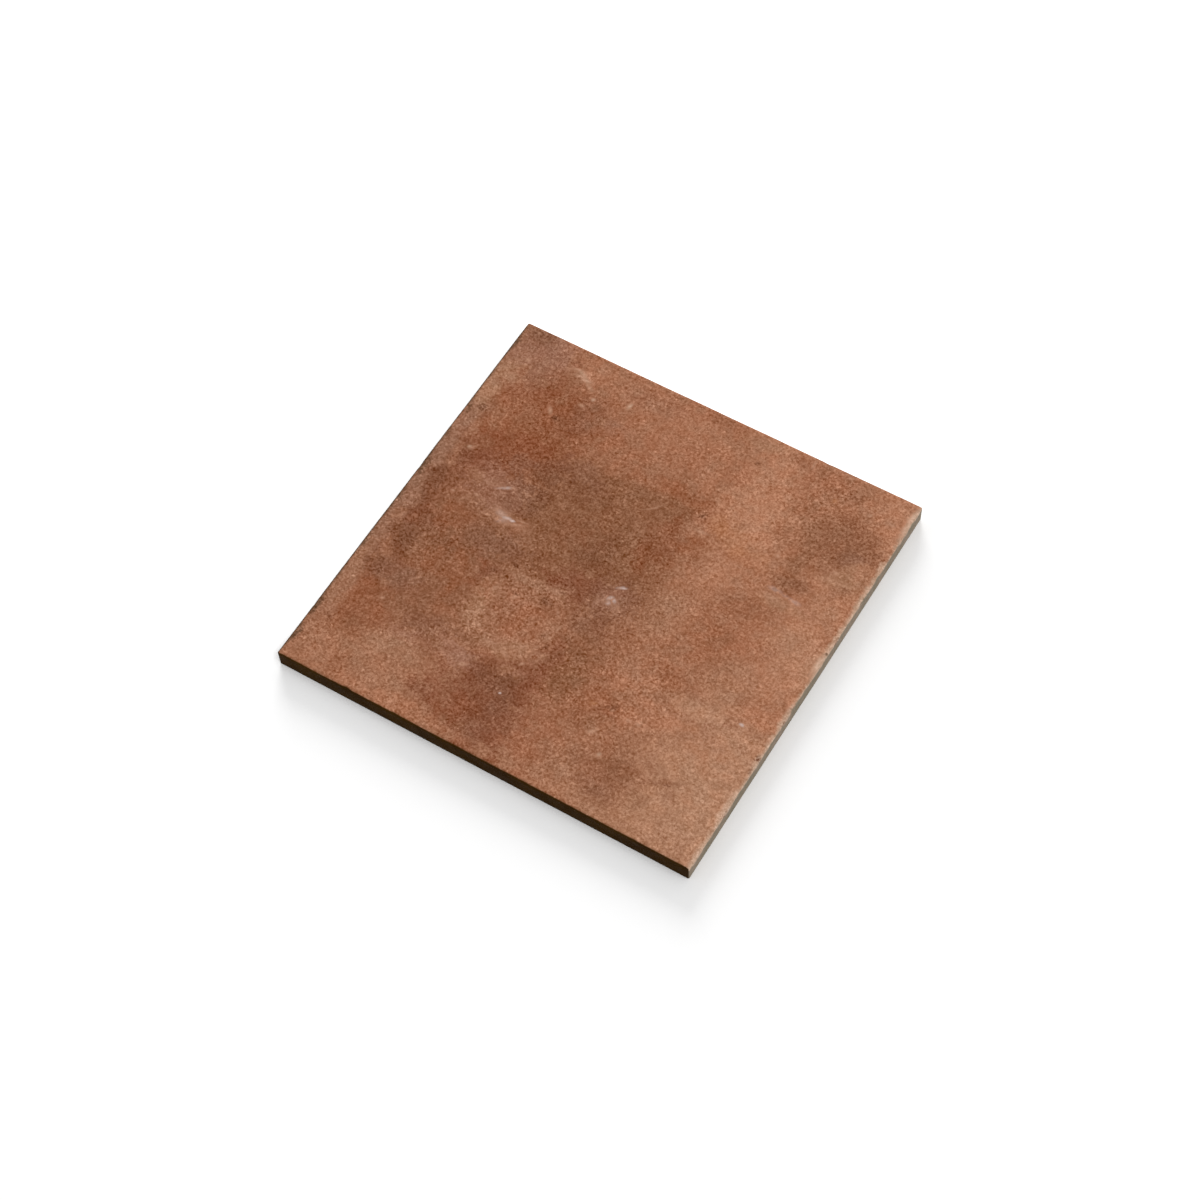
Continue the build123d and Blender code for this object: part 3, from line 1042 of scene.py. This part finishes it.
def porcelain_finish():
    """Matt terracotta face, bare sides and a keyed, washed back."""
    material = bpy.data.materials.new("fired_porcelain")
    material.use_nodes = True
    material.node_tree.nodes.clear()
    tree = Tree(material.node_tree)
    place = tree.scaled(tree.add("ShaderNodeTexCoord").outputs["Object"], metre)
    x, y, height = tree.add("ShaderNodeSeparateXYZ", (place,)).outputs
    x_plus_y = tree.math("ADD", x, y)
    normal = tree.add("ShaderNodeNewGeometry").outputs["Normal"]
    upright = tree.add("ShaderNodeSeparateXYZ", (normal,)).outputs["Z"]
    grain = fine_grain(tree, place, x)

    face = face_colour(tree, place, x, height, grain)
    wobble = tree.ramp(tree.noise(place, *wobble_noise), *usual_span, -1.0, 1.0, smooth=False)
    # The face turns to the dark umber as the arris rolls over to -X and -Y: painted shade, with kiln flash
    flash_shade_edge = tree.ramp(tree.math("MULTIPLY_ADD", wobble, flash_shade_wobble, upright), *flash_shade_band)
    climbing = tree.ramp(y, *climb_band, 0.0, climb)
    ragged_edge = tree.math("MULTIPLY_ADD", wobble, tree.ramp(y, *even_band, *wobbles), height)
    bare = tree.ramp(tree.math("ADD", ragged_edge, climbing), *bare_band)
    bare_edge = tree.math("MULTIPLY", bare, tree.ramp(height, *arris_band))
    to_side = tree.ramp(x_plus_y, *side_band, flash_shade_edge, bare_edge)
    colour = tree.mix(to_side, face, side_colour(tree, place, x_plus_y, grain))
    reach = tree.math("MAXIMUM", tree.math("ABSOLUTE", x), tree.math("ABSOLUTE", y))
    inside = tree.math("LESS_THAN", reach, back_reach)
    to_back = tree.math("MULTIPLY", inside, tree.math("LESS_THAN", height, back_height))
    colour = tree.mix(to_back, colour, back_colour(tree, place, height, grain))
    colour = tree.vector("SUBTRACT", colour, (sheen, sheen, sheen))

    roughness = tree.ramp(tree.noise(place, *matt_noise), *usual_span, *matt_range)
    relief = tree.math("ADD", grain, tree.noise(place, *bump_noise))
    bump = tree.add("ShaderNodeBump", {"Strength": 1.0, "Distance": bump_depth / metre, "Height": relief})
    inputs = {"Base Color": colour, "Roughness": roughness, "Normal": bump.outputs[0],
              "Specular IOR Level": specular_level}
    shader = tree.add("ShaderNodeBsdfPrincipled", inputs)
    tree.links.new(shader.outputs[0], tree.add("ShaderNodeOutputMaterial").inputs["Surface"])
    return material


# Camera, solved from the straight outlines of the photographed tile
camera_azimuth = math.radians(33.878)      # 0 stands on -Y and looks along +Y, and it grows towards +X
camera_elevation = math.radians(58.397)
camera_roll = math.radians(3.189)
camera_distance = 1166.05                  # along the view, from the centre of the face
face_right = 1.634                         # where the centre of the face lies from the camera's axis
face_down = -9.038
sensor_width = 36.0
lens_length = 82.362


def toward(azimuth, elevation):
    """The direction that lies at an azimuth, which runs from +Y to +X, and an elevation."""
    level = math.cos(elevation)
    return Vector((math.sin(azimuth) * level, math.cos(azimuth) * level, math.sin(elevation)))


def make_camera():
    """The studio camera, which looks down on the tile from the photograph's side, rolled a little."""
    back = toward(math.pi - camera_azimuth, camera_elevation)
    right = Vector((0, 0, 1)).cross(back).normalized()
    up = back.cross(right)
    turned = Matrix((right, up, back)).transposed() @ Matrix.Rotation(-camera_roll, 3, "Z")
    place = Vector((0, 0, thickness)) + turned @ Vector((-face_right, face_down, camera_distance))
    data = bpy.data.cameras.new("camera")
    data.sensor_width = sensor_width
    data.lens = lens_length
    data.clip_start = 0.01
    data.clip_end = 100
    camera = bpy.data.objects.new("camera", data)
    camera.matrix_world = Matrix.Translation(metres(place)) @ turned.to_4x4()
    bpy.context.collection.objects.link(camera)
    bpy.context.scene.camera = camera


# Floor and surround. The camera sees a whiter floor than the one that lights the tile: so bright behind the
# tile that no shadow shows there, and hardly over white in front of it.
floor_reach = 3000.0
floor_grey = paint(120, 120, 120)
behind_white = (1.6, 1.6, 1.6, 1)
front_white = (1.04, 1.04, 1.04, 1)
front_band = (-30, 10)                     # from the one white to the other, by x - y
surround_strength = 0.5


def make_floor():
    """A white floor that keeps the tile's shadow."""
    mesh = bpy.data.meshes.new("floor")
    corners = ((-1, -1), (1, -1), (1, 1), (-1, 1))
    places = [metres((x * floor_reach, y * floor_reach, 0)) for x, y in corners]
    mesh.from_pydata(places, [], [range(len(places))])
    floor = bpy.data.objects.new("floor", mesh)
    bpy.context.collection.objects.link(floor)
    material = bpy.data.materials.new("white_floor")
    material.use_nodes = True
    material.node_tree.nodes.clear()
    tree = Tree(material.node_tree)
    place = tree.scaled(tree.add("ShaderNodeTexCoord").outputs["Object"], metre)
    x, y, height = tree.add("ShaderNodeSeparateXYZ", (place,)).outputs
    nearer = tree.ramp(tree.math("SUBTRACT", x, y), *front_band)
    white = tree.mix(nearer, behind_white, front_white)
    path = tree.add("ShaderNodeLightPath").outputs
    seen = tree.math("MAXIMUM", path["Is Camera Ray"], path["Is Glossy Ray"])
    colour = tree.mix(seen, floor_grey, white)
    shader = tree.add("ShaderNodeBsdfDiffuse", {"Color": colour})
    tree.links.new(shader.outputs[0], tree.add("ShaderNodeOutputMaterial").inputs["Surface"])
    mesh.materials.append(material)


def add_sun(name, azimuth, elevation, spread, irradiance):
    """A soft sun, with its angles in degrees. Irradiance is what it gives the level face."""
    azimuth, elevation, spread = (math.radians(angle) for angle in (azimuth, elevation, spread))
    data = bpy.data.lights.new(name, "SUN")
    data.angle = spread
    data.energy = irradiance * math.pi / math.sin(elevation)
    lamp = bpy.data.objects.new(name, data)
    lamp.rotation_euler = toward(azimuth, elevation).to_track_quat("Z", "Y").to_euler()
    bpy.context.collection.objects.link(lamp)


def make_lights():
    """Plain white studio light: an even surround, a key at the right and a low soft light behind."""
    world = bpy.data.worlds.new("surround")
    world.use_nodes = True
    background = world.node_tree.nodes["Background"].inputs
    background["Color"].default_value = (1, 1, 1, 1)
    background["Strength"].default_value = surround_strength
    bpy.context.scene.world = world
    add_sun("key", azimuth=100, elevation=50, spread=50, irradiance=0.3)
    add_sun("low_back", azimuth=-34, elevation=18, spread=28, irradiance=0.2)


tile = make_tile(porcelain_finish())
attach(tile, "root")
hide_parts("tile")
make_floor()
make_lights()
make_camera()
bpy.context.scene.view_settings.view_transform = "Standard"
